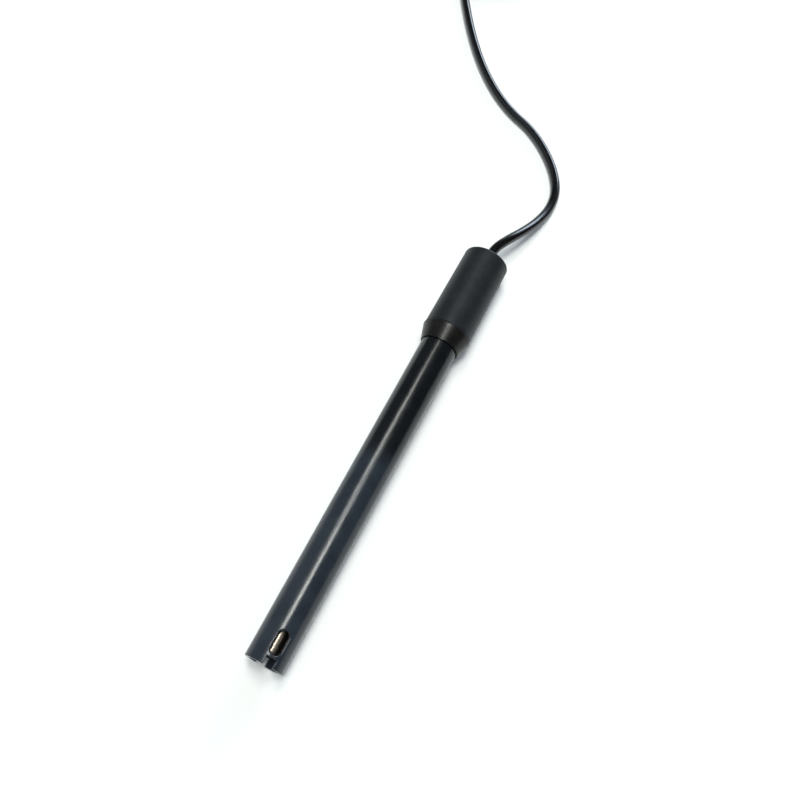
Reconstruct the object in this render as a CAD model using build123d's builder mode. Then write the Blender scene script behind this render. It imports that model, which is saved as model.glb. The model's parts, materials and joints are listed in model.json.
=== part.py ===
"""Temperature probe with a guarded tip, a moulded cap and a thin cord, lying on a flat surface.

Millimetres, +Z up, +X from the tip towards the cord. The origin is on the surface, under the middle of
the probe itself, without its cord.
"""

from build123d import *
from math import atan2, cos, degrees, pi, radians, sin, tan
import os

# Barrel: a plastic tube, open at the tip, with a shank that goes into the collar and the cap
barrel_diameter = 12.0
barrel_wall = 1.4
barrel_exposed = 110.4
barrel_in_cap = 17.6
barrel_edge_round = 0.2
shank_diameter = 11.4
shank_chamfer = 0.5

# Window in the barrel's wall, and the slot across its end
window_length = 7.2
window_width = 3.2
window_edge_round = 0.45
slot_width = 3.1
slot_depth = 2.5
slot_to_window = 0.75
window_roll = 20.0

# Collar: a tapered rubber ring with a spigot that goes up into the cap
collar_length = 5.8
collar_lower_diameter = 13.0
collar_upper_diameter = 16.4
collar_top_round = 0.35
spigot_diameter = 13.8
spigot_length = 2.8

# Cap: moulded, drafted, closed at the top but for the cord's hole
cap_length = 30.8
cap_rim_diameter = 15.9
cap_top_diameter = 15.36
cap_top_round = 0.9
cap_rim_round = 0.3
cap_top_wall = 4.0
cap_cavity_diameter = 10.0
cord_hole_flare = 0.5

# Sensor sheath: a steel tube, closed by a flat end with a rounded edge
sheath_diameter = 5.0
sheath_wall = 0.35
sheath_end_round = 1.2
sheath_tip_setback = 2.9
sheath_length = 60.0

# Sensing bead, its resin and its leads
bead_diameter = 2.2
bead_length = 3.0
bead_setback = 1.2
bead_nose_round = 1.0
bead_rear_round = 0.3
bead_potting_length = 7.0
lead_diameter = 0.5
lead_pitch = 0.9
insulator_setback = 6.6
lead_bend_radius = 8.0
lead_straight = 2.0

# Bushing, spacer and potting that hold the sheath and close the barrel
bushing_place = 22.0
bushing_length = 12.0
bushing_chamfer = 0.4
o_ring_section = 1.1
o_ring_groove_width = 1.6
o_ring_groove_place = 3.7
bushing_potting_length = 6.0
spacer_length = 6.0
spacer_notches = 3
spacer_notch_diameter = 1.4
barrel_potting_length = 8.0
barrel_potting_setback = 0.6

# Cord: two cores in a round jacket
cord_diameter = 3.3
cord_exit_run = 5.0
cord_entry_run = 17.0
core_diameter = 1.0
core_pitch = 2.2
core_end_gap = 1.0
splice_diameter = 2.0
splice_length = 12.0
splice_place = 84.0
ferrule_diameter = 6.4
ferrule_length = 4.6
ferrule_chamfer = 0.4

# Put-away coil, its tie and the stubs where the cord enters and leaves it
coil_outer_turn_diameter = 47.1
coil_pitch = 3.45
coil_whole_turns = 7
coil_entry_heading = 30.0
coil_exit_heading = -90.0
coil_edge_round = 1.6
coil_slack = 0.1
stub_length = 14.0
tie_thickness = 0.6
tie_width = 2.6
tie_heading = 60.0
tie_head_width = 4.4
tie_head_height = 2.8
tie_head_length = 4.8
tie_head_round = 0.3
tie_tail_length = 6.0
tie_gap = 0.1

# Last stretch of the cord, and the plug: a moulded body with a two-pole pin
end_run = 5.5
end_bend_radius = 18.0
plug_diameter = 9.0
plug_relief_length = 6.0
plug_relief_diameter = 4.8
plug_relief_taper = 0.7
plug_relief_grooves = 2
plug_groove_width = 0.8
plug_groove_depth = 0.4
plug_grip_length = 17.0
plug_grip_land = 1.4
plug_grip_waist = 0.6
plug_edge_round = 0.8
plug_shoulder_length = 1.5
plug_shoulder_diameter = 6.6
pin_diameter = 3.5
pin_length = 14.0
pin_root_length = 5.0
pin_root_diameter = 3.0
pin_root_bare = 0.3
pin_wall = 0.45
pin_ring_width = 0.8
pin_liner_length = 5.0
pin_spigot_diameter = 1.6
pin_tip_length = 3.6
pin_flange = 0.7
pin_neck_length = 0.7
pin_neck_diameter = 2.4
pin_point_diameter = 1.2

# Clearances between pieces that fit into each other
bond_gap = 0.02
seat_gap = 0.05
press_gap = 0.04

# Values that follow from the sizes above
barrel_radius = barrel_diameter / 2
shank_radius = shank_diameter / 2
bore_radius = barrel_radius - barrel_wall
barrel_length = barrel_exposed + collar_length + barrel_in_cap
collar_top = barrel_exposed + collar_length
cap_rim = collar_top + seat_gap
cap_top = cap_rim + cap_length
cap_ceiling = cap_top - cap_top_wall
sheath_radius = sheath_diameter / 2
sheath_bore_radius = sheath_radius - sheath_wall
sheath_end = sheath_tip_setback + sheath_length
cord_radius = cord_diameter / 2
core_offset = core_pitch / 2
lead_offset = lead_pitch / 2
tail_start = barrel_length + core_end_gap

# The probe leans on its tip's lower edge and on the collar's widest circle
collar_widest = collar_top - collar_top_round
lean = atan2((collar_upper_diameter - barrel_diameter) / 2, collar_widest)
tip_height = barrel_radius * cos(lean)
tip_x = -cap_top * cos(lean) / 2


def station(s, offset=0.0, height=0.0):
    """The point at distance s from the tip along the probe's leaning axis."""
    return Vector(
        tip_x + s * cos(lean) - height * sin(lean),
        offset,
        tip_height + s * sin(lean) + height * cos(lean),
    )


# X of this plane runs across the probe, Y up, and Z along its axis towards the cord
probe_axis = Vector(cos(lean), 0, sin(lean))
probe_plane = Plane(origin=station(0), x_dir=(0, 1, 0), z_dir=probe_axis)
# In this one X runs along the axis and Y is the radius, for turned shapes
turning_plane = Plane(origin=station(0), x_dir=probe_axis, z_dir=(0, -1, 0))
turning_axis = Axis(station(0), probe_axis)


def across(s):
    """The probe's cross-section plane at distance s from the tip."""
    return probe_plane.offset(s)


def off_axis(point):
    """How far a point lies from the probe's axis."""
    arm = point - station(0)
    return (arm - probe_axis * arm.dot(probe_axis)).length


def circles(piece, radius):
    """The round edges of a piece that have this radius."""
    return piece.edges().filter_by(GeomType.CIRCLE).filter_by(lambda e: abs(e.radius - radius) < 0.005)


# Barrel
window_end = slot_depth + slot_to_window
window_middle = window_end + window_length / 2
roll_plane = Plane(
    origin=station(0),
    x_dir=probe_axis,
    z_dir=Vector(0, 0, 1).rotate(Axis.X, window_roll).rotate(Axis.Y, -degrees(lean)),
)

with BuildPart() as barrel:
    with BuildSketch(probe_plane):
        Circle(barrel_radius)
    extrude(amount=barrel_exposed)
    with BuildSketch(probe_plane):
        Circle(shank_radius)
    extrude(amount=barrel_length)
    with BuildSketch(probe_plane):
        Circle(bore_radius)
    extrude(amount=barrel_length, mode=Mode.SUBTRACT)
    fillet(circles(barrel, barrel_radius).sort_by(Axis.X)[-1], barrel_edge_round)
    chamfer(circles(barrel, shank_radius).sort_by(Axis.X)[-1], shank_chamfer)
    with BuildSketch(roll_plane):
        with Locations((window_middle, 0)):
            SlotOverall(window_length, window_width)
    extrude(amount=barrel_radius + 1, mode=Mode.SUBTRACT)
    window_edges = barrel.edges(Select.LAST).filter_by(
        lambda e: off_axis(e.center()) > barrel_radius - barrel_wall / 4
    )
    fillet(window_edges, window_edge_round)
    with BuildSketch(roll_plane):
        with Locations((slot_depth / 2, 0)):
            Rectangle(slot_depth, slot_width)
    extrude(amount=barrel_radius + 1, both=True, mode=Mode.SUBTRACT)
    tip_edges = barrel.edges().filter_by(
        lambda e: off_axis(e @ 0.5) > barrel_radius - bond_gap
        and (e @ 0.5 - station(0)).dot(probe_axis) < slot_depth + bond_gap
    )
    fillet(tip_edges, barrel_edge_round)
barrel.part.label = "barrel"

# Collar, turned round the barrel, with its spigot inside the cap's mouth
collar_bore_radius = shank_radius + seat_gap
collar_start = barrel_exposed + seat_gap
collar_lower_radius = collar_lower_diameter / 2
collar_upper_radius = collar_upper_diameter / 2
spigot_radius = spigot_diameter / 2

with BuildPart() as collar:
    with BuildSketch(turning_plane):
        with BuildLine():
            Polyline(
                (collar_start, collar_bore_radius),
                (collar_start, collar_lower_radius),
                (collar_widest, collar_upper_radius),
                (collar_top, collar_upper_radius - collar_top_round),
                (collar_top, spigot_radius),
                (collar_top + spigot_length, spigot_radius),
                (collar_top + spigot_length, collar_bore_radius),
                close=True,
            )
        make_face()
    revolve(axis=turning_axis)
    fillet(circles(collar, collar_upper_radius), collar_top_round / 2)
collar.part.label = "collar"

# Cap
cap_rim_radius = cap_rim_diameter / 2
cap_top_radius = cap_top_diameter / 2
cap_bore_radius = shank_radius + seat_gap
cap_mouth_radius = spigot_radius + seat_gap
cap_mouth_depth = spigot_length + seat_gap
cap_bore_depth = barrel_in_cap + seat_gap
cord_hole_radius = cord_radius + bond_gap

with BuildPart() as cap:
    with BuildSketch(turning_plane):
        with BuildLine():
            Polyline(
                (cap_rim, cap_mouth_radius),
                (cap_rim, cap_rim_radius),
                (cap_top, cap_top_radius),
                (cap_top, cord_hole_radius),
                (cap_ceiling, cord_hole_radius),
                (cap_ceiling, cap_cavity_diameter / 2),
                (cap_rim + cap_bore_depth, cap_cavity_diameter / 2),
                (cap_rim + cap_bore_depth, cap_bore_radius),
                (cap_rim + cap_mouth_depth, cap_bore_radius),
                (cap_rim + cap_mouth_depth, cap_mouth_radius),
                close=True,
            )
        make_face()
    revolve(axis=turning_axis)
    fillet(circles(cap, cap_top_radius), cap_top_round)
    fillet(circles(cap, cap_rim_radius), cap_rim_round)
    chamfer(circles(cap, cord_hole_radius).sort_by(Axis.X)[-1], cord_hole_flare)
cap.part.label = "cap"

# Sensor sheath: the rounds inside and outside its closed end have one centre
end_round_centre = (sheath_tip_setback + sheath_end_round, sheath_radius - sheath_end_round)
sheath_floor = sheath_tip_setback + sheath_wall

with BuildPart() as sensor_sheath:
    with BuildSketch(turning_plane):
        with BuildLine():
            outside = CenterArc(end_round_centre, sheath_end_round, 90, 90)
            inside = CenterArc(end_round_centre, sheath_end_round - sheath_wall, 90, 90)
            Polyline(outside @ 1, (sheath_tip_setback, 0), (sheath_floor, 0), inside @ 1)
            Polyline(inside @ 0, (sheath_end, sheath_bore_radius), (sheath_end, sheath_radius), outside @ 0)
        make_face()
    revolve(axis=turning_axis)
sensor_sheath.part.label = "sensor_sheath"

# Thermistor bead: a rounded drop whose flat rear face carries the leads
bead_tip = sheath_floor + bead_setback
bead_rear = bead_tip + bead_length
bead_radius = bead_diameter / 2

with BuildPart() as thermistor_bead:
    with BuildSketch(across(bead_tip)):
        Circle(bead_radius)
    extrude(amount=bead_length)
    fillet(thermistor_bead.edges().group_by(Axis.X)[0], bead_nose_round)
    fillet(thermistor_bead.edges().group_by(Axis.X)[-1], bead_rear_round)
thermistor_bead.part.label = "thermistor_bead"

# Resin round the bead, shaped by the sheath's closed end
resin_radius = sheath_bore_radius - bond_gap
resin_end = sheath_floor + bead_potting_length
lead_hole_radius = lead_diameter / 2 + bond_gap

with BuildPart() as bead_potting:
    with BuildSketch(turning_plane):
        with BuildLine():
            edge = CenterArc(end_round_centre, sheath_end_round - sheath_wall - bond_gap, 90, 90)
            Polyline(
                edge @ 0,
                (resin_end, resin_radius),
                (resin_end, 0),
                (sheath_floor + bond_gap, 0),
                edge @ 1,
            )
        make_face()
    revolve(axis=turning_axis)
    with BuildSketch(across(bead_tip - bond_gap)):
        Circle(bead_radius + bond_gap)
    extrude(amount=bead_length + 2 * bond_gap, mode=Mode.SUBTRACT)
    with BuildSketch(across(bead_rear)):
        with Locations((lead_offset, 0), (-lead_offset, 0)):
            Circle(lead_hole_radius)
    extrude(amount=bead_potting_length, mode=Mode.SUBTRACT)
bead_potting.part.label = "bead_potting"

# Twin-bore insulator behind the resin
insulator_start = resin_end + bond_gap
insulator_end = sheath_end - insulator_setback

with BuildPart() as lead_insulator:
    with BuildSketch(across(insulator_start)):
        Circle(resin_radius)
        with Locations((lead_offset, 0), (-lead_offset, 0)):
            Circle(lead_hole_radius, mode=Mode.SUBTRACT)
    extrude(amount=insulator_end - insulator_start)
lead_insulator.part.label = "lead_insulator"

# Leads: straight through the sheath, then spread to the splices
core_start = splice_place + splice_length / 2
spread_start = insulator_end + lead_straight
spread_end = splice_place - lead_straight


def lead(side):
    """One lead, from the bead's rear face to the middle of its splice; side is 1 or -1."""
    with BuildPart() as wire:
        with BuildLine():
            FilletPolyline(
                station(bead_rear, side * lead_offset),
                station(spread_start, side * lead_offset),
                station(spread_end, side * core_offset),
                station(core_start - bond_gap, side * core_offset),
                radius=lead_bend_radius,
            )
        with BuildSketch(Plane(origin=station(bead_rear, side * lead_offset), z_dir=probe_axis)):
            Circle(lead_diameter / 2)
        sweep()
    return wire.part


lead_left = lead(1)
lead_left.label = "lead_left"
lead_right = lead(-1)
lead_right.label = "lead_right"

# Bushing that holds the sheath, with a groove outside and a counterbore behind for its O-rings
bushing_end = bushing_place + bushing_length
bushing_radius = bore_radius - press_gap
sheath_fit_radius = sheath_radius + bond_gap
groove_radius = bushing_radius - o_ring_section + 2 * bond_gap
groove_start = bushing_place + o_ring_groove_place
counterbore_radius = sheath_fit_radius + o_ring_section
counterbore_depth = o_ring_groove_width

with BuildPart() as sheath_bushing:
    with BuildSketch(across(bushing_place)):
        Circle(bushing_radius)
        Circle(sheath_fit_radius, mode=Mode.SUBTRACT)
    extrude(amount=bushing_length)
    with BuildSketch(across(groove_start)):
        Circle(bushing_radius + 1)
        Circle(groove_radius, mode=Mode.SUBTRACT)
    extrude(amount=o_ring_groove_width, mode=Mode.SUBTRACT)
    with BuildSketch(across(bushing_end - counterbore_depth)):
        Circle(counterbore_radius)
    extrude(amount=counterbore_depth, mode=Mode.SUBTRACT)
    chamfer(circles(sheath_bushing, bushing_radius).sort_by(Axis.X)[0], bushing_chamfer)
sheath_bushing.part.label = "sheath_bushing"


def o_ring(place, inner, outer):
    """A ring of round section that fills the space between two radii, centred at place."""
    with BuildPart() as ring:
        with BuildSketch(turning_plane):
            with Locations((place, (inner + outer) / 2)):
                Circle((outer - inner) / 2 - bond_gap)
        revolve(axis=turning_axis)
    return ring.part


barrel_o_ring = o_ring(groove_start + o_ring_groove_width / 2, groove_radius, bore_radius)
barrel_o_ring.label = "barrel_o_ring"
sheath_o_ring = o_ring(bushing_end - counterbore_depth / 2, sheath_radius, counterbore_radius)
sheath_o_ring.label = "sheath_o_ring"

# Resin that keeps the bushing in place
with BuildPart() as bushing_potting:
    with BuildSketch(across(bushing_end + bond_gap)):
        Circle(bore_radius - bond_gap)
        Circle(sheath_fit_radius, mode=Mode.SUBTRACT)
    extrude(amount=bushing_potting_length)
bushing_potting.part.label = "bushing_potting"

# Spacer that centres the sheath's rear end, with notches that let air past
with BuildPart() as sheath_spacer:
    with BuildSketch(across(sheath_end - spacer_length)):
        Circle(bore_radius - press_gap)
        Circle(sheath_fit_radius, mode=Mode.SUBTRACT)
        with PolarLocations(bore_radius, spacer_notches):
            Circle(spacer_notch_diameter / 2, mode=Mode.SUBTRACT)
    extrude(amount=spacer_length)
sheath_spacer.part.label = "sheath_spacer"

# Splices: one end of the bore fits the lead, the other the cord's core
core_radius = core_diameter / 2


def splice(side):
    """A crimped sleeve that joins one lead and one core; side is 1 or -1."""
    with BuildPart() as sleeve:
        with BuildSketch(across(splice_place)):
            with Locations((side * core_offset, 0)):
                Circle(splice_diameter / 2)
                Circle(lead_hole_radius, mode=Mode.SUBTRACT)
        extrude(amount=splice_length)
        with BuildSketch(across(core_start)):
            with Locations((side * core_offset, 0)):
                Circle(core_radius + bond_gap)
        extrude(amount=splice_length, mode=Mode.SUBTRACT)
    return sleeve.part


splice_left = splice(1)
splice_left.label = "splice_left"
splice_right = splice(-1)
splice_right.label = "splice_right"


def core(side):
    """One insulated conductor, from its splice to the end of the cord's jacket; side is 1 or -1."""
    with BuildPart() as conductor:
        with BuildSketch(across(core_start + bond_gap)):
            with Locations((side * core_offset, 0)):
                Circle(core_radius)
        extrude(amount=tail_start - core_start - bond_gap)
    return conductor.part


core_left = core(1)
core_left.label = "core_left"
core_right = core(-1)
core_right.label = "core_right"

# Resin plug at the barrel's rear end
with BuildPart() as barrel_potting:
    with BuildSketch(across(barrel_length - barrel_potting_setback - barrel_potting_length)):
        Circle(bore_radius - bond_gap)
        with Locations((core_offset, 0), (-core_offset, 0)):
            Circle(core_radius + bond_gap, mode=Mode.SUBTRACT)
    extrude(amount=barrel_potting_length)
barrel_potting.part.label = "barrel_potting"

# End of the cord's jacket inside the cap, and the ferrule crimped on it
with BuildPart() as cable_tail:
    with BuildSketch(across(tail_start)):
        Circle(cord_radius)
    extrude(amount=cap_top - tail_start)
cable_tail.part.label = "cable_tail"

with BuildPart() as cable_ferrule:
    with BuildSketch(across(cap_ceiling - seat_gap - ferrule_length)):
        Circle(ferrule_diameter / 2)
        Circle(cord_radius + bond_gap, mode=Mode.SUBTRACT)
    extrude(amount=ferrule_length)
    chamfer(circles(cable_ferrule, ferrule_diameter / 2), ferrule_chamfer)
cable_ferrule.part.label = "cable_ferrule"


# Put-away coil: where the cord enters it and where it leaves, for turns wound to the right
def ahead(heading, distance):
    """The step of a length in a compass direction in the plane of the surface."""
    return Vector(distance * cos(radians(heading)), distance * sin(radians(heading)), 0)


coil_turn_radius = coil_outer_turn_diameter / 2
floor_run = cord_radius
coil_low_run = tie_thickness + coil_slack + cord_radius

# The route of the free stretch. Its first two points follow the cap's axis. The last run points the
# way the coil is entered, and ends where the coil's stub begins.
cord_exit = station(cap_top)
cord_route = [
    cord_exit,
    station(cap_top + cord_exit_run),
    Vector(84.4, -2.6, 8.7),
    Vector(91.6, -5.7, 6.5),
    Vector(99.6, -8.2, 3.9),
    Vector(108.2, -9.7, 2.0),
    Vector(117.0, -8.7, floor_run),
    Vector(125.2, -3.9, floor_run),
    Vector(132.6, 3.2, floor_run),
    Vector(138.4, 11.3, floor_run),
    Vector(142.0, 20.6, floor_run),
    Vector(148.6, 30.4, floor_run),
    Vector(158.2, 40.4, floor_run),
    Vector(170.6, 50.4, floor_run + 0.2),
    Vector(184.7, 59.9, coil_low_run),
]
cord_route.append(cord_route[-1] + ahead(coil_entry_heading, cord_entry_run))

coil_entry = cord_route[-1] + ahead(coil_entry_heading, stub_length)
coil_centre = coil_entry + ahead(coil_entry_heading - 90, coil_turn_radius)
coil_leave = coil_centre + ahead(coil_exit_heading + 90, coil_turn_radius) + Vector(0, 0, cord_diameter)
coil_turns = coil_whole_turns + (coil_entry_heading - coil_exit_heading) / 360
coil_inner_turn_radius = coil_turn_radius - coil_pitch * coil_turns / 2

# The tube's corners are arcs as large as their two runs allow
cord_steps = [b - a for a, b in zip(cord_route, cord_route[1:])]
cord_turns = [a.get_angle(b) for a, b in zip(cord_steps, cord_steps[1:])]
cord_radii = [
    0.45 * min(a.length, b.length) / tan(radians(turn) / 2)
    for a, b, turn in zip(cord_steps, cord_steps[1:], cord_turns)
]

with BuildPart() as cable:
    with BuildLine() as cable_line:
        FilletPolyline(*cord_route, radius=cord_radii)
    with BuildSketch(Plane(origin=cord_exit, z_dir=probe_axis)):
        Circle(cord_radius)
    sweep()
cable.part.label = "cable"

# The coil's outer shape is a ring two turns high, a little slack all round, with the stubs where the
# cord enters and leaves
ring_outer_radius = coil_turn_radius + cord_radius + coil_slack
ring_inner_radius = coil_inner_turn_radius - cord_radius - coil_slack
ring_middle_radius = (ring_outer_radius + ring_inner_radius) / 2
ring_width = ring_outer_radius - ring_inner_radius
ring_height = 2 * (cord_diameter + coil_slack)
ring_plane = Plane(
    origin=(coil_centre.X, coil_centre.Y, tie_thickness), x_dir=(1, 0, 0), z_dir=(0, -1, 0)
)

with BuildPart() as cable_coil:
    with BuildSketch(ring_plane):
        with Locations((ring_middle_radius, ring_height / 2)):
            RectangleRounded(ring_width, ring_height, coil_edge_round)
    revolve(axis=Axis((coil_centre.X, coil_centre.Y, 0), (0, 0, 1)))
    with BuildSketch(Plane(origin=cord_route[-1], z_dir=ahead(coil_entry_heading, 1))):
        Circle(cord_radius)
    extrude(amount=stub_length)
    with BuildSketch(Plane(origin=coil_leave, z_dir=ahead(coil_exit_heading, 1))):
        Circle(cord_radius)
    extrude(amount=stub_length)
cable_coil.part.label = "cable_coil"

# Tie: a strap round the ring's section, with a head on top and a short tail
strap_inner_width = ring_width + 2 * tie_gap
strap_inner_height = ring_height + tie_gap
tie_middle = coil_centre + ahead(tie_heading, ring_middle_radius)
tie_plane = Plane(
    origin=(tie_middle.X, tie_middle.Y, tie_thickness + strap_inner_height / 2),
    x_dir=ahead(tie_heading, 1),
    z_dir=ahead(tie_heading - 90, 1),
)
strap_round = coil_edge_round - tie_gap

with BuildPart() as cable_tie:
    with BuildSketch(tie_plane):
        RectangleRounded(
            strap_inner_width + 2 * tie_thickness,
            strap_inner_height + 2 * tie_thickness,
            strap_round + tie_thickness,
        )
        RectangleRounded(strap_inner_width, strap_inner_height, strap_round, mode=Mode.SUBTRACT)
        with Locations((tie_head_length / 2, strap_inner_height / 2 + tie_head_height / 2)):
            Rectangle(tie_tail_length, tie_thickness, align=(Align.MIN, Align.CENTER))
    extrude(amount=tie_width / 2, both=True)
    with BuildSketch(tie_plane):
        with Locations((0, strap_inner_height / 2)):
            Rectangle(tie_head_length, tie_head_height, align=(Align.CENTER, Align.MIN))
    extrude(amount=tie_head_width / 2, both=True)
    head_edges = cable_tie.faces().sort_by(Axis.Z)[-1].edges()
    fillet(head_edges, tie_head_round)
cable_tie.part.label = "cable_tie"

# Last stretch of the cord, from the coil down to the plug that lies on the surface
plug_radius = plug_diameter / 2
end_start = coil_leave + ahead(coil_exit_heading, stub_length)
plug_rear = end_start + ahead(coil_exit_heading, 3 * end_run) + Vector(0, 0, plug_radius - end_start.Z)
end_route = [
    end_start,
    end_start + ahead(coil_exit_heading, end_run),
    plug_rear - ahead(coil_exit_heading, end_run),
    plug_rear,
]

with BuildPart() as cable_end:
    with BuildLine() as end_line:
        FilletPolyline(*end_route, radius=end_bend_radius)
    with BuildSketch(Plane(origin=end_start, z_dir=ahead(coil_exit_heading, 1))):
        Circle(cord_radius)
    sweep()
cable_end.part.label = "cable_end"

# Plug: turned shapes about one axis, drawn from the rear of the moulded body forwards
plug_plane = Plane(
    origin=plug_rear, x_dir=ahead(coil_exit_heading, 1), z_dir=ahead(coil_exit_heading - 90, 1)
)
plug_axis = Axis(plug_rear, ahead(coil_exit_heading, 1))
body_start = plug_relief_length
body_end = body_start + plug_grip_length
plug_front = body_end + plug_shoulder_length
land_rear = body_start + plug_grip_land
land_front = body_end - plug_grip_land
relief_radius = plug_relief_diameter / 2
plug_shoulder_radius = plug_shoulder_diameter / 2
plug_groove_height = plug_relief_taper + plug_groove_depth
pin_radius = pin_diameter / 2
pin_root = plug_front - pin_root_length
pin_root_radius = pin_root_diameter / 2
pin_shoulder = plug_front + pin_root_bare
pin_bore_radius = pin_root_radius - pin_wall
liner_radius = pin_bore_radius - bond_gap
spigot_fit_radius = pin_spigot_diameter / 2 + bond_gap
ring_start = plug_front + pin_length - pin_tip_length - pin_ring_width
tip_start = ring_start + pin_ring_width

with BuildPart() as plug_body:
    with BuildSketch(plug_plane):
        with BuildLine():
            Polyline(
                (land_front, plug_radius),
                (body_end, plug_radius),
                (body_end, plug_shoulder_radius),
                (plug_front, plug_shoulder_radius),
                (plug_front, 0),
                (0, 0),
                (0, relief_radius),
                (body_start, relief_radius + plug_relief_taper),
                (body_start, plug_radius),
                (land_rear, plug_radius),
            )
            ThreePointArc(
                (land_rear, plug_radius),
                ((land_rear + land_front) / 2, plug_radius - plug_grip_waist),
                (land_front, plug_radius),
            )
        make_face()
    revolve(axis=plug_axis)
    corners = circles(plug_body, plug_radius).sort_by(Axis.Y)
    fillet([corners[0], corners[-1]], plug_edge_round)
    groove_step = plug_relief_length / (plug_relief_grooves + 1)
    with BuildSketch(plug_plane):
        with GridLocations(groove_step, 0, plug_relief_grooves, 1, align=(Align.MIN, Align.CENTER)):
            with Locations((groove_step, relief_radius + plug_relief_taper)):
                Rectangle(plug_groove_width, plug_groove_height, align=(Align.CENTER, Align.MAX))
    revolve(axis=plug_axis, mode=Mode.SUBTRACT)
    with BuildSketch(Plane(origin=plug_plane.from_local_coords((pin_root, 0)), z_dir=plug_axis.direction)):
        Circle(pin_root_radius + bond_gap)
    extrude(amount=2 * pin_root_length, mode=Mode.SUBTRACT)
plug_body.part.label = "plug_body"

with BuildPart() as plug_sleeve:
    with BuildSketch(plug_plane):
        with BuildLine():
            Polyline(
                (pin_root, pin_bore_radius),
                (pin_root, pin_root_radius),
                (pin_shoulder, pin_root_radius),
                (pin_shoulder, pin_radius),
                (ring_start, pin_radius),
                (ring_start, pin_bore_radius),
                close=True,
            )
        make_face()
    revolve(axis=plug_axis)
plug_sleeve.part.label = "plug_sleeve"

with BuildPart() as plug_ring:
    with BuildSketch(plug_plane):
        with Locations((ring_start, spigot_fit_radius)):
            Rectangle(pin_ring_width, pin_radius - spigot_fit_radius, align=(Align.MIN, Align.MIN))
        with Locations((ring_start - pin_liner_length, spigot_fit_radius)):
            Rectangle(
                pin_liner_length, liner_radius - spigot_fit_radius, align=(Align.MIN, Align.MIN)
            )
    revolve(axis=plug_axis)
plug_ring.part.label = "plug_ring"

with BuildPart() as plug_tip:
    with BuildSketch(plug_plane):
        with BuildLine():
            Polyline(
                (ring_start - pin_liner_length, 0),
                (ring_start - pin_liner_length, pin_spigot_diameter / 2),
                (tip_start, pin_spigot_diameter / 2),
                (tip_start, pin_radius),
                (tip_start + pin_flange, pin_radius),
                (tip_start + pin_flange + pin_neck_length, pin_neck_diameter / 2),
                (tip_start + pin_flange + 2 * pin_neck_length, pin_radius),
                (tip_start + pin_tip_length, pin_point_diameter / 2),
                (tip_start + pin_tip_length, 0),
                close=True,
            )
        make_face()
    revolve(axis=plug_axis)
plug_tip.part.label = "plug_tip"

pieces = [
    barrel.part,
    cap.part,
    collar.part,
    sensor_sheath.part,
    thermistor_bead.part,
    bead_potting.part,
    lead_insulator.part,
    lead_left,
    lead_right,
    sheath_bushing.part,
    barrel_o_ring,
    sheath_o_ring,
    bushing_potting.part,
    sheath_spacer.part,
    splice_left,
    splice_right,
    core_left,
    core_right,
    barrel_potting.part,
    cable_tail.part,
    cable_ferrule.part,
    cable.part,
    cable_coil.part,
    cable_end.part,
    cable_tie.part,
    plug_body.part,
    plug_sleeve.part,
    plug_ring.part,
    plug_tip.part,
]

os.makedirs("parts", exist_ok=True)
for piece in pieces:
    export_step(piece, f"parts/{piece.label}.step")

free_length = sum(edge.length for edge in cable_line.edges())
end_length = sum(edge.length for edge in end_line.edges())
coil_length = pi * (coil_turn_radius + coil_inner_turn_radius) * coil_turns + 2 * stub_length
print("cord radii", [round(r, 1) for r in cord_radii])
print("free stretch", round(free_length, 1), "coil", round(coil_length, 1), "turns", round(coil_turns, 2))
print("whole cord", round(free_length + coil_length + end_length, 1))
print("cable volume share", round(cable.part.volume / (pi * cord_radius**2 * free_length), 4))
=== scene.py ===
"""The finish of a temperature probe: slate-black moulded barrel, rubber collar, cap, steel sheath and cord.

Metres, in the part's own frame. Sizes are written in millimetres and turned by mm().
"""

import json
from math import atan2, cos, pi, radians, sin

import bmesh
import bpy
from mathutils import Matrix, Vector


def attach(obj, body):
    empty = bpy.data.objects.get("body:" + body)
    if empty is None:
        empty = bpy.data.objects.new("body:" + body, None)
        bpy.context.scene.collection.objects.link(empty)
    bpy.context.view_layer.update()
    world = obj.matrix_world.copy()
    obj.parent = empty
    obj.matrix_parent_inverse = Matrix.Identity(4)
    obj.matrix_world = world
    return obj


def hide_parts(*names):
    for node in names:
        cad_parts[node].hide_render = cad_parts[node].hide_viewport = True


MM = 0.001


def mm(*values):
    """Millimetres to metres: one number, or a point of three."""
    if len(values) == 1:
        return values[0] * MM
    return Vector(values) * MM


def colour(code):
    """An sRGB hex code as linear red, green, blue and alpha."""
    channels = [int(code[i : i + 2], 16) / 255 for i in (1, 3, 5)]
    return [c / 12.92 if c <= 0.04045 else ((c + 0.055) / 1.055) ** 2.4 for c in channels] + [1.0]


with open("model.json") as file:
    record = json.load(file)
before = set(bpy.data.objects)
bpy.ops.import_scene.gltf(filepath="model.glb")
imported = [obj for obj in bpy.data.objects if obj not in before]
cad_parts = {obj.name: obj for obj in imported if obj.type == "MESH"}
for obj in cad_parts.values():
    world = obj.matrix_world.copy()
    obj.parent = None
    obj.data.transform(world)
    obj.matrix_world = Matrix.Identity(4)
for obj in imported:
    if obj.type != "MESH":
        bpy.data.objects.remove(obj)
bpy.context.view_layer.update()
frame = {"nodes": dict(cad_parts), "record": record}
nodes = frame["nodes"]

# Sizes of the probe, in millimetres
barrel_radius = 6.0
collar_upper_radius = 8.2
collar_widest = 115.85
cap_top = 147.05
cord_diameter = 3.3
cord_radius = cord_diameter / 2

# The probe's axis leans on its tip and its collar
lean = atan2(collar_upper_radius - barrel_radius, collar_widest)
tip = Vector((-cap_top * cos(lean) / 2, 0, barrel_radius * cos(lean)))
probe_axis = Vector((cos(lean), 0, sin(lean)))


def station(s):
    """The point of the probe's axis at a distance from the tip, in millimetres."""
    return tip + probe_axis * s


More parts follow.
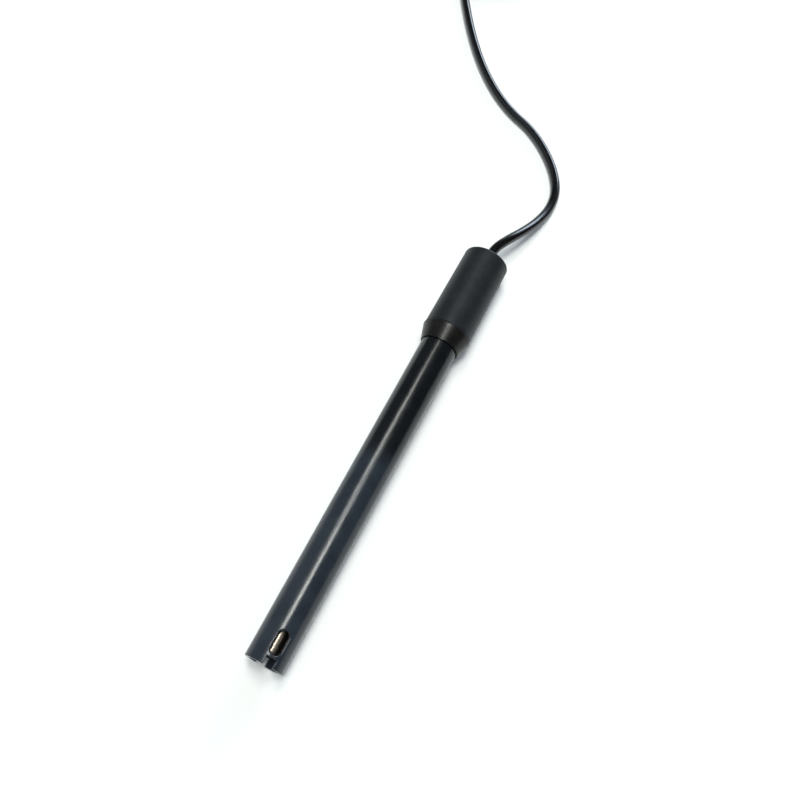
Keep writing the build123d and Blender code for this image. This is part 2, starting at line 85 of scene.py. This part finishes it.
# Cord route, in millimetres, with headings in degrees on the surface
floor_run = cord_radius
tie_thickness = 0.6
coil_slack = 0.1
coil_low_run = tie_thickness + coil_slack + cord_radius
coil_outer_turn_diameter = 47.1
coil_turn_radius = coil_outer_turn_diameter / 2
coil_pitch = 3.45
coil_whole_turns = 7
coil_entry_heading = 30.0
coil_exit_heading = -90.0
coil_turns = coil_whole_turns + (coil_entry_heading - coil_exit_heading) / 360
stub_length = 14.0
cord_entry_run = 17.0
end_run = 5.5
plug_axis_height = 4.5
turn_points = 24


def ahead(heading, distance):
    """The step of a length in a compass direction in the plane of the surface."""
    return Vector((distance * cos(radians(heading)), distance * sin(radians(heading)), 0))


free_route = [
    station(cap_top),
    station(cap_top + 5.0),
    Vector((84.4, -2.6, 8.7)),
    Vector((91.6, -5.7, 6.5)),
    Vector((99.6, -8.2, 3.9)),
    Vector((108.2, -9.7, 2.0)),
    Vector((117.0, -8.7, floor_run)),
    Vector((125.2, -3.9, floor_run)),
    Vector((132.6, 3.2, floor_run)),
    Vector((138.4, 11.3, floor_run)),
    Vector((142.0, 20.6, floor_run)),
    Vector((148.6, 30.4, floor_run)),
    Vector((158.2, 40.4, floor_run)),
    Vector((170.6, 50.4, floor_run + 0.2)),
    Vector((184.7, 59.9, coil_low_run)),
]
free_route.append(free_route[-1] + ahead(coil_entry_heading, cord_entry_run))
coil_entry = free_route[-1] + ahead(coil_entry_heading, stub_length)
coil_centre = coil_entry + ahead(coil_entry_heading - 90, coil_turn_radius)


def coil_route():
    """The coil's turns: inwards below, up one cord and outwards again on top, clockwise from above."""
    points = []
    for i in range(round(coil_turns * turn_points) + 1):
        turned = i / turn_points
        layer = min(turned, coil_turns - turned)
        # The cord climbs within the half turn at the middle of its way
        rise = min(max((turned - coil_turns / 2) * 2 + 0.5, 0), 1)
        heading = coil_entry_heading + 90 - 360 * turned
        place = coil_centre + ahead(heading, coil_turn_radius - coil_pitch * layer)
        points.append(Vector((place.x, place.y, coil_low_run + cord_diameter * rise)))
    return points


def end_route():
    """The last points, from the coil down to the plug's rear."""
    leave = coil_centre + ahead(coil_exit_heading + 90, coil_turn_radius)
    high = coil_low_run + cord_diameter
    start = leave + ahead(coil_exit_heading, stub_length)
    rear = start + ahead(coil_exit_heading, 3 * end_run)
    return [
        Vector((leave.x, leave.y - stub_length / 2, high)),
        Vector((start.x, start.y - end_run / 2, high)),
        Vector((rear.x, rear.y + end_run, plug_axis_height)),
        Vector((rear.x, rear.y, plug_axis_height)),
    ]


# Materials


def node(tree, kind, inputs=None, **settings):
    """Adds a node: its settings by name, and a number, a colour code or a socket for each input."""
    made = tree.nodes.new(kind)
    for name, value in settings.items():
        setattr(made, name, value)
    for name, value in (inputs or {}).items():
        if isinstance(value, bpy.types.NodeSocket):
            tree.links.new(value, made.inputs[name])
        elif isinstance(value, str):
            made.inputs[name].default_value = colour(value)
        else:
            made.inputs[name].default_value = value
    return made


def new_material(name):
    """A material with an empty node tree."""
    material = bpy.data.materials.new(name)
    material.use_nodes = True
    material.node_tree.nodes.clear()
    return material


# A pattern's values crowd round 0.5, so what lies between these two is spread over the whole change
contrast = {"From Min": 0.3, "From Max": 0.7}

# Stations of the painted light, a lighter colour for the bright room that the dipped barrel reflects,
# in millimetres: where it starts to fade, and its end
painted_light_fades = 54.0
painted_light_ends = 82.0


def along_probe(stretch=(1, 1, 1)):
    """A lie for a pattern: from the tip, with X along the probe's axis, stretched by three factors."""
    return {"Location": tip * MM, "Rotation": (0, -lean, 0), "Scale": stretch}


def coordinates(tree, lie):
    """Where a point is on its object, moved, turned and stretched by a lie."""
    place = node(tree, "ShaderNodeTexCoord").outputs["Object"]
    return node(tree, "ShaderNodeMapping", {"Vector": place, **lie}, vector_type="TEXTURE").outputs["Vector"]


def clouds(tree, size, detail=3.0, lie=None):
    """A cloudy pattern with patches this many millimetres wide, in a lie of its own if one is given."""
    settings = {"Vector": coordinates(tree, lie or {}), "Scale": 1 / mm(size), "Detail": detail}
    return node(tree, "ShaderNodeTexNoise", settings).outputs["Fac"]


def painted_light_share(tree):
    """How much painted light there is: all of it on the part that is dipped, and none above, with a soft
    end.
    """
    along = node(tree, "ShaderNodeSeparateXYZ", {"Vector": coordinates(tree, along_probe())}).outputs["X"]
    ends = {"From Min": mm(painted_light_fades), "From Max": mm(painted_light_ends), "To Min": 1.0, "To Max": 0.0}
    soft = node(tree, "ShaderNodeMapRange", {"Value": along, **ends}, interpolation_type="SMOOTHSTEP")
    painted_light = {"Value": soft.outputs["Result"], **contrast}
    return node(tree, "ShaderNodeMapRange", painted_light, interpolation_type="SMOOTHSTEP").outputs["Result"]


def finish(name, tint, roughness, relief, ior=1.5, metallic=0.0, painted_light=None):
    """One whole material.

    tint: two colours and the size of the clouds that mix them
    roughness: the least, the most and the pattern between them, as clouds() takes it
    relief: each layer's depth in millimetres and its pattern, from the lowest layer up
    painted_light: two lighter colours, painted light, that take the place of the tint's where the probe is
    dipped
    """
    material = new_material(name)
    tree = material.node_tree

    low, high, size = tint
    cloudy = {"Value": clouds(tree, size), **contrast}
    share = node(tree, "ShaderNodeMapRange", cloudy, interpolation_type="SMOOTHSTEP").outputs["Result"]
    base = node(tree, "ShaderNodeMix", {0: share, 6: low, 7: high}, data_type="RGBA").outputs[2]
    # Painted light: where the probe is dipped, lighter colours take the place of the tint's
    if painted_light:
        painted_lit_base = node(tree, "ShaderNodeMix", {0: share, 6: painted_light[0], 7: painted_light[1]}, data_type="RGBA").outputs[2]
        ends = {0: painted_light_share(tree), 6: base, 7: painted_lit_base}
        base = node(tree, "ShaderNodeMix", ends, data_type="RGBA").outputs[2]

    least, most, pattern = roughness
    uneven = {"Value": clouds(tree, **pattern), "To Min": least, "To Max": most, **contrast}
    shine = node(tree, "ShaderNodeMapRange", uneven, interpolation_type="SMOOTHSTEP").outputs["Result"]

    normal = None
    for depth, pattern in relief:
        layer = {"Height": clouds(tree, **pattern), "Distance": mm(depth), "Strength": 1.0}
        if normal:
            layer["Normal"] = normal
        normal = node(tree, "ShaderNodeBump", layer).outputs["Normal"]

    surface = {"Base Color": base, "Roughness": shine, "Normal": normal, "IOR": ior, "Metallic": metallic}
    shader = node(tree, "ShaderNodeBsdfPrincipled", surface).outputs["BSDF"]
    node(tree, "ShaderNodeOutputMaterial", {"Surface": shader})
    return material


def moulded_abs():
    """ABS, injection moulded in a polished tool: slate black and shiny, with a faint wave in its highlights.

    The part that is dipped is painted lighter and bluer: painted light for the bright room it reflects.
    Fine scratches run along the barrel, drawn coarser than the real ones, which are a few hundredths of a
    millimetre wide.
    """
    scratches = {"size": 0.25, "detail": 2.0, "lie": along_probe((14, 1, 1))}
    wave = {"size": 5.0, "detail": 1.0}
    tint = ("#0d1013", "#111418", 6.0)
    # Painted light: lighter, bluer colours on the dipped part, for the bright room it reflects
    painted_light = ("#20262e", "#282f37")
    relief = [(0.004, wave), (0.0012, scratches)]
    return finish("moulded_abs", tint, (0.17, 0.27, scratches), relief, ior=1.44, painted_light=painted_light)


def eroded_abs():
    """ABS, moulded in a spark-eroded tool: black, with a dull fine grain that swallows light from the side.

    The grain is drawn coarser than the real one of about 0.05 mm.
    """
    grain = {"size": 0.22, "detail": 4.0}
    relief = [(0.02, {"size": 4.0}), (0.006, grain)]
    return finish("eroded_abs", ("#1a1d20", "#202327", 3.5), (0.36, 0.5, grain), relief, ior=1.3)


def ground_rubber():
    """Nitrile rubber, ground to its taper: brownish black, with fine lines round it.

    The lines are drawn coarser than the real ones of about 0.1 mm.
    """
    lines = {"size": 0.16, "lie": along_probe((1, 40, 40))}
    tint = ("#090807", "#110e0b", 2.5)
    return finish("ground_rubber", tint, (0.26, 0.4, lines), [(0.012, lines)], ior=1.35)


def steel_painted_dark():
    """Stainless steel 316 tube, polished on a lathe, with a dull shine: warm grey, painted darker than clean
    steel as painted shade for its place inside the barrel, with a soft lit band.

    Hair lines run round it, drawn coarser than the real ones of some hundredths of a millimetre.
    """
    lines = {"size": 0.3, "detail": 2.0, "lie": along_probe((1, 30, 30))}
    # Painted shade: these colours are darker than clean steel's, for the sheath's place inside the barrel
    tint = ("#91867b", "#998e83", 0.8)
    return finish("steel_painted_dark", tint, (0.29, 0.35, lines), [(0.0002, lines)], metallic=1.0)


def glossy_pvc():
    """Plasticised PVC, extruded: deep black and wet-looking, with a slow swell from the cores under it."""
    swell = {"size": 7.0, "detail": 1.0}
    tint = ("#0a0a0c", "#0c0c0e", 3.0)
    return finish("glossy_pvc", tint, (0.13, 0.2, {"size": 1.2}), [(0.03, swell)], ior=1.53)


def moulded_pvc():
    """PVC moulded over the plug: satin black, a little uneven."""
    tint = ("#101012", "#17171a", 3.0)
    return finish("moulded_pvc", tint, (0.33, 0.45, {"size": 0.4}), [(0.008, {"size": 0.35})], ior=1.53)


def nylon():
    """Nylon 66, moulded: black and waxy."""
    tint = ("#0e0e10", "#101012", 2.0)
    return finish("nylon", tint, (0.27, 0.38, {"size": 0.8}), [(0.01, {"size": 1.5})], ior=1.53)


def nickel_plate():
    """Brass plated with bright nickel: a warm mirror with hair lines round the pin, drawn at 0.1 mm."""
    lines = {"size": 0.1, "detail": 2.0, "lie": {"Scale": (33, 1, 33)}}
    tint = ("#d4cfc4", "#dbd6cb", 1.0)
    return finish("nickel_plate", tint, (0.07, 0.16, lines), [(0.0015, lines)], metallic=1.0)


def small_piece(name, low, high, roughness, ior=1.5, metallic=0.0, grain=0.5, depth=0.004):
    """A finish for a small piece: one grain for its shine and its relief, and clouds five times as wide."""
    pattern = {"size": grain}
    uneven = (roughness * 0.85, roughness * 1.2, pattern)
    return finish(name, (low, high, grain * 5), uneven, [(depth, pattern)], ior, metallic)


finishes = {
    "barrel_plastic": moulded_abs(),
    "cap_plastic": eroded_abs(),
    "collar_rubber": ground_rubber(),
    "sheath_steel": steel_painted_dark(),
    "cord_jacket": glossy_pvc(),
    "tie_plastic": nylon(),
    "plug_moulding": moulded_pvc(),
    "plug_metal": nickel_plate(),
    # Acetal, turned: black with a low shine
    "plug_insulation": small_piece("black_acetal", "#0f0f10", "#121213", 0.3, ior=1.48),
    # Glass, melted round the bead: dark and glossy
    "bead_glass": small_piece("bead_glass", "#30353b", "#363b43", 0.12, ior=1.52),
    # Epoxy, cast: dark brown and glossy, with a few clouds
    "resin": small_piece("epoxy", "#241f19", "#33291d", 0.2, ior=1.55, grain=1.2),
    # Alumina, fired: cream white and chalky
    "lead_tube": small_piece("alumina", "#d6d0c4", "#e4dfd5", 0.55, ior=1.76, grain=0.3),
    # Copper wire, drawn and tinned: soft grey
    "lead_wire": small_piece("tinned_wire", "#b9b5ae", "#c1bdb6", 0.3, metallic=1.0, grain=0.3),
    # Free-cutting brass, turned: yellow with a soft shine
    "bushing_brass": small_piece("turned_brass", "#c29c52", "#d2ad63", 0.26, metallic=1.0),
    # Nitrile rubber, moulded: black and dull
    "seal_rubber": small_piece("nitrile", "#101010", "#131313", 0.45, ior=1.52),
    # Acetal, natural and turned: milk white
    "spacer_plastic": small_piece("natural_acetal", "#d9d7cf", "#dfddd5", 0.4, ior=1.48),
    # Copper sleeve, tinned and crimped: grey and uneven
    "splice_copper": small_piece("crimp_sleeve", "#b5aea4", "#bdb6ac", 0.34, 1.5, 1.0, 0.8, 0.02),
    # PVC insulation of the two cores, extruded: red and black, satin
    "core_red": small_piece("red_pvc", "#a01e1b", "#a8201d", 0.35, ior=1.53),
    "core_black": small_piece("black_pvc", "#161618", "#19191c", 0.35, ior=1.53),
    # Steel, zinc plated: bluish grey
    "ferrule_steel": small_piece("zinc_plate", "#b0b2b4", "#b8babc", 0.36, metallic=1.0, grain=0.4),
}

for part in frame["record"]["subparts"]:
    slots = nodes[part["node"]].data.materials
    slots.clear()
    slots.append(finishes[part["material_slot"]])


def cord_curve():
    """The whole cord as one smooth line, from the cap to the plug."""
    curve = bpy.data.curves.new("cord", "CURVE")
    curve.dimensions = "3D"
    curve.bevel_depth = mm(cord_radius)
    curve.bevel_resolution = 8
    curve.resolution_u = 8
    curve.use_fill_caps = True
    spline = curve.splines.new("NURBS")
    points = free_route + coil_route() + end_route()
    spline.points.add(len(points) - 1)
    for target, point in zip(spline.points, points):
        target.co = (*(point * MM), 1)
    spline.order_u = 3
    spline.use_endpoint_u = True
    piece = bpy.data.objects.new("cord", curve)
    bpy.context.scene.collection.objects.link(piece)
    return piece


cord = cord_curve()
cord.data.materials.append(finishes["cord_jacket"])
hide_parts("cable", "cable_coil", "cable_end")
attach(cord, "root")

# Camera, where the photograph was taken from
camera_place = mm(-91.12, -39.04, 263.28)
camera_aim = mm(18.06, 3.99, 0.0)
camera_roll = 5.99
camera_lens = 40.36

camera = bpy.data.objects.new("camera", bpy.data.cameras.new("camera"))
camera.data.lens = camera_lens
camera.data.sensor_width = 36.0
camera.location = camera_place
look = (camera_aim - camera_place).to_track_quat("-Z", "Y").to_matrix().to_4x4()
camera.matrix_world = Matrix.Translation(camera_place) @ look @ Matrix.Rotation(radians(camera_roll), 4, "Z")
bpy.context.scene.collection.objects.link(camera)
bpy.context.scene.camera = camera

# Light, in metres and degrees: soft boxes above the probe give it its long highlights and its shadow,
# and a window low past the cord gives the cord its light edge
floor_reach = 3.0
floor_lift = 0.03
box_white = "#fcfff9"
window_white = "#dfeeff"
soft_boxes = [
    # Name, centre, tilt, heading, length, width, radiance, colour
    ("near_box", (0.12, -0.05, 1.2), 0.0, -12.0, 0.36, 0.28, 6.6, box_white),
    ("core_box", (0.1, -0.045, 1.19), 0.0, -20.0, 0.13, 0.28, 21.0, box_white),
    ("far_box", (0.385, 0.22, 1.2), 0.0, -43.0, 0.33, 0.26, 13.0, box_white),
    ("tip_box", (-0.15, 0.03, 1.2), 0.0, 0.0, 0.24, 0.34, 18.0, box_white),
    ("low_window", (0.95, -0.1, 0.3), 75.0, -6.0, 0.3, 0.5, 9.0, window_white),
]

# The room's colour in each direction, by its X: from -1, beyond the tip, to 1, beyond the cord
room_colours = [
    (-1.0, "#a0a8ae"),
    (0.235, "#a0a8ae"),
    (0.315, "#4a4b4e"),
    (0.7, "#4a4b4e"),
    (0.86, window_white),
    (1.0, window_white),
]
# The room's strength in each direction, by its Y: from the probe's right side to its left
room_sides = {"From Min": -0.8, "From Max": 0.8, "To Min": 0.45, "To Max": 1.05}


def floor():
    """A plain white floor that keeps the shadow, with a faint glow in the view and in reflections."""
    mesh = bpy.data.meshes.new("floor")
    form = bmesh.new()
    bmesh.ops.create_grid(form, x_segments=1, y_segments=1, size=floor_reach)
    form.to_mesh(mesh)
    form.free()
    piece = bpy.data.objects.new("floor", mesh)
    bpy.context.scene.collection.objects.link(piece)

    # White paper, matt
    paper = new_material("white_paper")
    tree = paper.node_tree
    matt = {"Base Color": "#fafafa", "Roughness": 0.95, "Specular IOR Level": 0.0}
    surface = node(tree, "ShaderNodeBsdfPrincipled", matt).outputs["BSDF"]
    rays = node(tree, "ShaderNodeLightPath").outputs
    seen = rays["Is Camera Ray"]
    for other in ("Is Glossy Ray", "Is Transmission Ray"):
        seen = node(tree, "ShaderNodeMath", {0: seen, 1: rays[other]}, operation="MAXIMUM").outputs["Value"]
    lift = node(tree, "ShaderNodeMath", {0: seen, 1: floor_lift}, operation="MULTIPLY").outputs["Value"]
    glow = node(tree, "ShaderNodeEmission", {"Strength": lift}).outputs["Emission"]
    both = node(tree, "ShaderNodeAddShader", {0: surface, 1: glow}).outputs["Shader"]
    node(tree, "ShaderNodeOutputMaterial", {"Surface": both})
    mesh.materials.append(paper)


def soft_box(name, centre, tilt, heading, length, width, radiance, code):
    """A lit rectangle that shines straight down, or is tilted to shine back against its heading."""
    light = bpy.data.lights.new(name, "AREA")
    light.shape = "RECTANGLE"
    light.size = length
    light.size_y = width
    light.color = colour(code)[:3]
    light.energy = radiance * pi * length * width
    piece = bpy.data.objects.new(name, light)
    turn = Matrix.Rotation(radians(heading), 4, "Z") @ Matrix.Rotation(radians(tilt), 4, "Y")
    piece.matrix_world = Matrix.Translation(centre) @ turn
    bpy.context.scene.collection.objects.link(piece)


def room():
    """The room's light: pale behind the tip, dark above the cap, and cool and bright low past the cord."""
    world = bpy.data.worlds.new("room")
    world.use_nodes = True
    tree = world.node_tree
    tree.nodes.clear()
    way = node(tree, "ShaderNodeTexCoord").outputs["Generated"]
    parts = node(tree, "ShaderNodeSeparateXYZ", {"Vector": way}).outputs
    along = node(tree, "ShaderNodeMapRange", {"Value": parts["X"], "From Min": -1.0, "From Max": 1.0})
    ramp = node(tree, "ShaderNodeValToRGB", {"Fac": along.outputs["Result"]})
    ramp.color_ramp.elements[0].color = colour(room_colours[0][1])
    ramp.color_ramp.elements[1].color = colour(room_colours[-1][1])
    for place, code in room_colours[1:-1]:
        ramp.color_ramp.elements.new((place + 1) / 2).color = colour(code)
    side = node(tree, "ShaderNodeMapRange", {"Value": parts["Y"], **room_sides}).outputs["Result"]
    sky = node(tree, "ShaderNodeBackground", {"Color": ramp.outputs["Color"], "Strength": side})
    node(tree, "ShaderNodeOutputWorld", {"Surface": sky.outputs["Background"]})
    bpy.context.scene.world = world


floor()
for box in soft_boxes:
    soft_box(*box)
room()
bpy.context.scene.view_settings.view_transform = "Standard"
